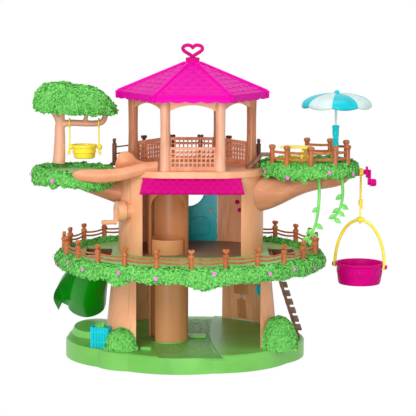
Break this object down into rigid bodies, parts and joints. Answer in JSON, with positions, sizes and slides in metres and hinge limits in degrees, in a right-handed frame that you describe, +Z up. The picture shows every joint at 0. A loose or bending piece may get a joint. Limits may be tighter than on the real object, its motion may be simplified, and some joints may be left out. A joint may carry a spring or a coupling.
{
  "type": "toy tree house",
  "caption": "Toy tree house: hollow trunk on a lobed base, lift, oval deck, roofed gazebo, side platforms with tree swing and umbrella, slide, ladder and hoisted basket.",
  "frame": {"origin": "on the underside of the base, near its middle, under the gazebo", "axes": "+X to the hoist, -Y to the open front, +Z up"},
  "size_m": [0.5708, 0.4047, 0.501],
  "materials": {
    "magenta": "moulded magenta plastic",
    "dark_brown": "moulded dark brown plastic",
    "bark_orange": "moulded orange-tan plastic with bark lines",
    "base_green": "moulded green plastic with a soft sheen",
    "yellow": "moulded yellow plastic",
    "leaf_green": "moulded leafy green plastic",
    "fence_brown": "moulded brown plastic",
    "floor_green": "moulded grey-green plastic",
    "trunk_tan": "moulded tan plastic with faint bark lines",
    "slide_green": "glossy deep green plastic",
    "grey_brown": "moulded grey-brown plastic",
    "teal": "moulded teal plastic",
    "roof_magenta": "moulded magenta plastic with scale tiles",
    "umbrella_plastic": "moulded plastic in teal and white segments",
    "vine_green": "soft moulded green plastic"
  },
  "bodies": {
    "house": {"awning": "magenta", "balcony_fence": "dark_brown", "balcony_floor": "dark_brown", "bark_chute": "bark_orange", "base": "base_green", "bushes": "leaf_green", "deck_fence_back": "fence_brown", "deck_fence_front": "fence_brown", "deck_fence_left": "fence_brown", "deck_fence_right": "fence_brown", "deck_floor": "floor_green", "deck_leaf_rim": "leaf_green", "gazebo_arches": "trunk_tan", "gazebo_columns": "trunk_tan", "green_slide": "slide_green", "hoist_rope": "yellow", "ladder": "grey_brown", "lattice_back": "trunk_tan", "lattice_back_left": "trunk_tan", "lattice_back_right": "trunk_tan", "lattice_front": "trunk_tan", "left_branch": "trunk_tan", "left_platform_floor": "floor_green", "left_platform_rim": "leaf_green", "lift_shaft_lower": "trunk_tan", "lift_shaft_upper": "trunk_tan", "lower_wall_back": "trunk_tan", "lower_wall_left": "trunk_tan", "lower_wall_over_door": "trunk_tan", "lower_wall_right": "trunk_tan", "picnic_table": "yellow", "planter": "teal", "right_branch": "trunk_tan", "right_fence": "fence_brown", "right_platform_floor": "floor_green", "right_platform_rim": "leaf_green", "roof": "roof_magenta", "roof_finial": "roof_magenta", "stile": "grey_brown", "top_floor": "trunk_tan", "tree_canopy": "leaf_green", "tree_trunk": "trunk_tan", "umbrella_post": "teal", "upper_door": "teal", "upper_wall_left": "trunk_tan", "upper_wall_over_door": "trunk_tan", "upper_wall_right": "trunk_tan", "vines": "vine_green", "winch_bracket": "magenta"},
    "lift_car": {"lift_car": "trunk_tan"},
    "lift_crank": {"lift_crank": "trunk_tan"},
    "ground_door": {"lower_door": "trunk_tan"},
    "swing": {"swing": "yellow"},
    "umbrella": {"umbrella_pole": "teal", "umbrella_canopy": "umbrella_plastic"},
    "hoist": {"hoist_hook": "yellow", "basket_bail": "yellow"},
    "basket": {"basket": "magenta"},
    "winch": {"winch_drum": "magenta"}
  },
  "joints": [
    {"name": "lift_travel", "type": "slide", "parent": "house", "child": "lift_car", "axis": [0, 0, 1], "range_m": [-0.1395, 0]},
    {"name": "lift_crank_turn", "type": "hinge", "parent": "house", "child": "lift_crank", "pos_m": [-0.103, -0.038, 0.238], "axis": [-0.9397, -0.342, 0], "range_deg": [0, 720]},
    {"name": "ground_door_swing", "type": "hinge", "parent": "house", "child": "ground_door", "pos_m": [0.1119, 0.11943, 0.04], "axis": [0.063, 0.0835, -0.9945], "range_deg": [0, 95]},
    {"name": "swing_pivot", "type": "hinge", "parent": "house", "child": "swing", "pos_m": [-0.1695, 0.03, 0.363], "axis": [1, 0, 0], "range_deg": [-45, 45]},
    {"name": "umbrella_tilt", "type": "hinge", "parent": "house", "child": "umbrella", "pos_m": [0.236, 0.018, 0.352], "axis": [0, 1, 0], "range_deg": [-25, 25]},
    {"name": "hoist_travel", "type": "slide", "parent": "house", "child": "hoist", "axis": [0, 0, 1], "range_m": [-0.105, 0.03], "deforming": ["hoist_rope"]},
    {"name": "winch_turn", "type": "hinge", "parent": "house", "child": "winch", "pos_m": [0.276, 0, 0.297], "axis": [1, 0, 0], "range_deg": [-1510, 435]},
    {"name": "basket_swing", "type": "hinge", "parent": "hoist", "child": "basket", "pos_m": [0.276, 0, 0.145], "axis": [0.9135, -0.4067, 0], "range_deg": [-60, 60]}
  ],
  "couplings": [
    {"joint": "lift_crank_turn", "follows": "lift_travel", "rad_per_m": -89.991},
    {"joint": "winch_turn", "follows": "hoist_travel", "rad_per_m": 250}
  ]
}
